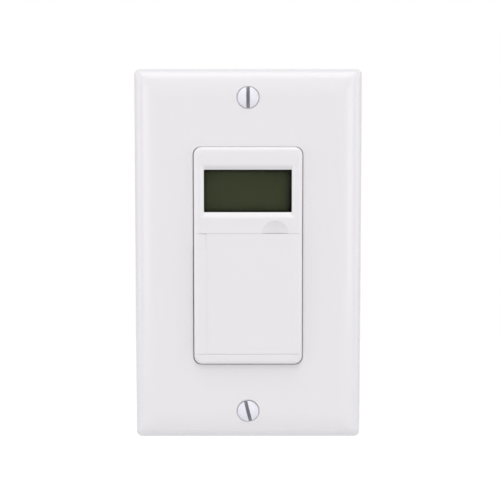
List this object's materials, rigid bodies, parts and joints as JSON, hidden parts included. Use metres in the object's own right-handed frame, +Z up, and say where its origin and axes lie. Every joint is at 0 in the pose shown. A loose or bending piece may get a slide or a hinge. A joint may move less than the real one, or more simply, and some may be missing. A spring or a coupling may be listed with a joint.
{
  "type": "timer light switch",
  "caption": "In-wall timer light switch: white decorator wall plate, recessed display, push paddle with a hinged door over setting keys, steel strap and rear housing with side screw terminals.",
  "frame": {"origin": "centre of the wall plate on the wall plane", "axes": "+X right as seen by the user, +Y into the wall, +Z up; the face looks along -Y"},
  "size_m": [0.0698, 0.0408, 0.1142],
  "materials": {
    "white_plastic": "satin moulded",
    "white_enamel": "white enamel",
    "zinc_steel": "zinc plated",
    "fibre": "pressed fibre",
    "green_screw": "green dyed",
    "clear_lens": "clear",
    "lcd": "dark olive",
    "elastomer": "matte",
    "board": "solder mask",
    "black_plastic": "moulded",
    "cell_steel": "nickel plated",
    "relay_blue": "moulded",
    "film_yellow": "moulded",
    "capacitor_sleeve": "shrink sleeve",
    "varistor_blue": "dipped",
    "resistor_body": "lacquered",
    "ivory_plastic": "moulded",
    "ribbon_grey": "matte",
    "housing_plastic": "fine texture",
    "brass": "bright",
    "key_grey": "moulded"
  },
  "bodies": {
    "device": {"wall_plate": "white_plastic", "plate_screws": "white_enamel", "mounting_strap": "zinc_steel", "box_screws": "zinc_steel", "screw_retainers": "fibre", "ground_screw": "green_screw", "front_bezel": "white_plastic", "display_lens": "clear_lens", "lcd_panel": "lcd", "lcd_holder": "ivory_plastic", "zebra_strips": "elastomer", "control_board": "board", "board_screws": "zinc_steel", "controller_chip": "black_plastic", "clock_crystal": "cell_steel", "cell_holder": "black_plastic", "coin_cell": "cell_steel", "cell_clip": "cell_steel", "switch_bodies": "black_plastic", "header_blocks": "ivory_plastic", "ribbon_link": "ribbon_grey", "power_board": "board", "power_board_screws": "zinc_steel", "relay": "relay_blue", "film_capacitor": "film_yellow", "electrolytic_capacitors": "capacitor_sleeve", "varistor": "varistor_blue", "fusible_resistor": "resistor_body", "rectifier_diodes": "black_plastic", "rear_housing": "housing_plastic", "housing_screws": "zinc_steel", "terminal_plates": "brass", "brass_terminal_screws": "brass", "neutral_terminal_screw": "zinc_steel", "paddle_pin": "zinc_steel"},
    "paddle": {"push_paddle": "white_plastic"},
    "door": {"access_door": "white_plastic"},
    "on_off_rod": {"on_off_plunger": "ivory_plastic", "on_off_stem": "black_plastic"},
    "program_button": {"program_key": "key_grey", "program_stem": "black_plastic"},
    "mode_button": {"mode_key": "key_grey", "mode_stem": "black_plastic"},
    "day_button": {"day_key": "key_grey", "day_stem": "black_plastic"},
    "hour_button": {"hour_key": "key_grey", "hour_stem": "black_plastic"},
    "minute_button": {"minute_key": "key_grey", "minute_stem": "black_plastic"},
    "reset_button": {"reset_key": "key_grey", "reset_stem": "black_plastic"}
  },
  "joints": [
    {"name": "paddle_press", "type": "hinge", "parent": "device", "child": "paddle", "pos_m": [0, -0.001, 0.0044], "axis": [1, 0, 0], "range_deg": [0, 1.5], "stiffness_Nm_per_rad": 2},
    {"name": "door_hinge", "type": "hinge", "parent": "paddle", "child": "door", "pos_m": [-0.01555, -0.0068, -0.012], "axis": [0, 0, -1], "range_deg": [0, 135]},
    {"name": "on_off_travel", "type": "slide", "parent": "device", "child": "on_off_rod", "axis": [0, 1, 0], "range_m": [0, 0.00085]},
    {"name": "program_press", "type": "slide", "parent": "device", "child": "program_button", "axis": [0, 1, 0], "range_m": [0, 0.00055], "stiffness_N_per_m": 1500},
    {"name": "mode_press", "type": "slide", "parent": "device", "child": "mode_button", "axis": [0, 1, 0], "range_m": [0, 0.00055], "stiffness_N_per_m": 1500},
    {"name": "day_press", "type": "slide", "parent": "device", "child": "day_button", "axis": [0, 1, 0], "range_m": [0, 0.00055], "stiffness_N_per_m": 1500},
    {"name": "hour_press", "type": "slide", "parent": "device", "child": "hour_button", "axis": [0, 1, 0], "range_m": [0, 0.00055], "stiffness_N_per_m": 1500},
    {"name": "minute_press", "type": "slide", "parent": "device", "child": "minute_button", "axis": [0, 1, 0], "range_m": [0, 0.00055], "stiffness_N_per_m": 1500},
    {"name": "reset_press", "type": "slide", "parent": "device", "child": "reset_button", "axis": [0, 1, 0], "range_m": [0, 0.00055], "stiffness_N_per_m": 1500}
  ],
  "couplings": [
    {"joint": "on_off_travel", "follows": "paddle_press", "m_per_rad": 0.0309}
  ]
}
